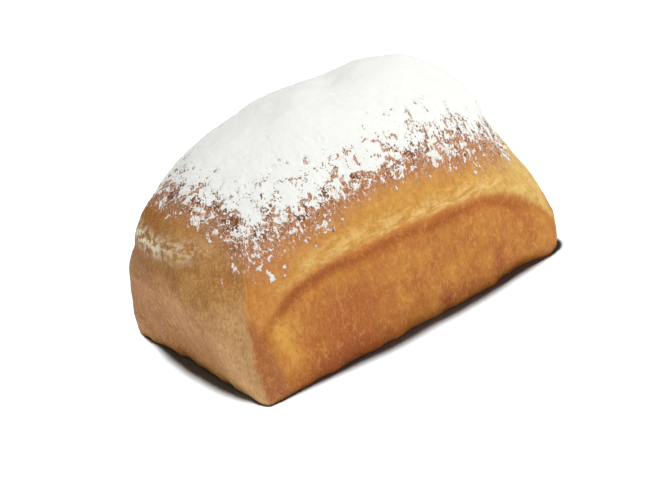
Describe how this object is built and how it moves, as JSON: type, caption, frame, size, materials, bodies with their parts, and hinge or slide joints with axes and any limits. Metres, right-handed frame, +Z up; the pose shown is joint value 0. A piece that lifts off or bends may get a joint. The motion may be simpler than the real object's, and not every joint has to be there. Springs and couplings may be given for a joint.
{
  "type": "quark filled bun",
  "caption": "Loaf-shaped sweet bun with a domed top dusted in icing sugar, a crease along its walls and a flat base.",
  "frame": {"origin": "middle of the flat base", "axes": "+X along the bun's length, +Y across it to the side away from the picture's view, +Z up"},
  "size_m": [0.1213, 0.0747, 0.0651],
  "materials": {
    "crust": "golden to reddish brown baked crust, dull, paler above the crease, with fine pores",
    "icing_sugar": "thin dusting of icing sugar on the dome, full white on top and ragged at its lower edge"
  },
  "bodies": {
    "root": {"bun": "crust"}
  },
  "joints": []
}
